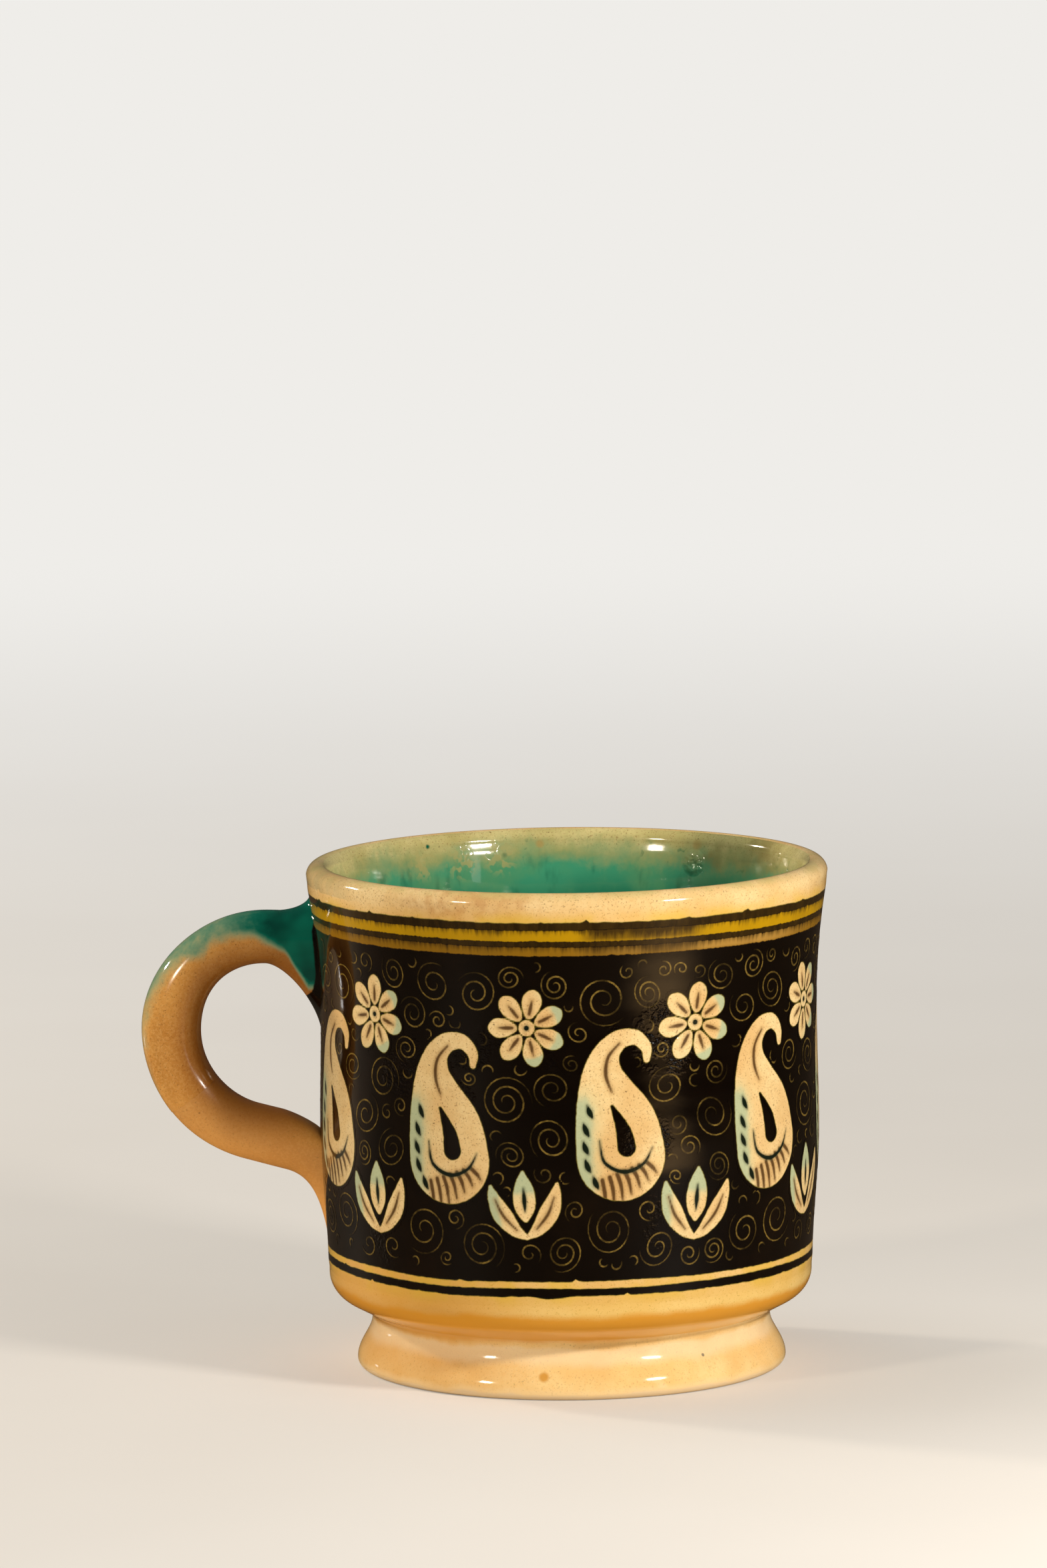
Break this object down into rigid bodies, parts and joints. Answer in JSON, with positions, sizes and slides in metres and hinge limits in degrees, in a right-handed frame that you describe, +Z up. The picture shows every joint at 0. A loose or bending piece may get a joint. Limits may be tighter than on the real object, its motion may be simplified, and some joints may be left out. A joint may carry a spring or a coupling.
{
  "type": "clay mug",
  "caption": "Thrown clay mug on a low flared foot, with a round strap handle, a rounded rim, a glazed lining and bands of coloured slip.",
  "frame": {"origin": "the middle of the foot's resting face, on the axis that the mug was thrown on", "axes": "+Z up along the throwing axis, towards the rim; the handle stands towards -X"},
  "size_m": [0.1214, 0.092, 0.0896],
  "materials": {
    "cream_clay": "glossy",
    "foot_clay": "glossy",
    "handle_clay": "glossy",
    "handle_green": "glossy",
    "green_lining": "glossy",
    "black_slip": "glossy",
    "yellow_slip": "glossy",
    "amber_slip": "glossy"
  },
  "bodies": {
    "root": {"cup": "cream_clay", "foot": "foot_clay", "foot_coil": "foot_clay", "handle": "handle_clay", "upper_root_wad": "handle_green", "lower_root_wad": "handle_clay", "glaze_lining": "green_lining", "black_slip_field": "black_slip", "black_slip_lines": "black_slip", "yellow_slip_stripe": "yellow_slip", "amber_slip_stripe": "amber_slip", "green_handle_glaze": "handle_green"}
  },
  "joints": []
}
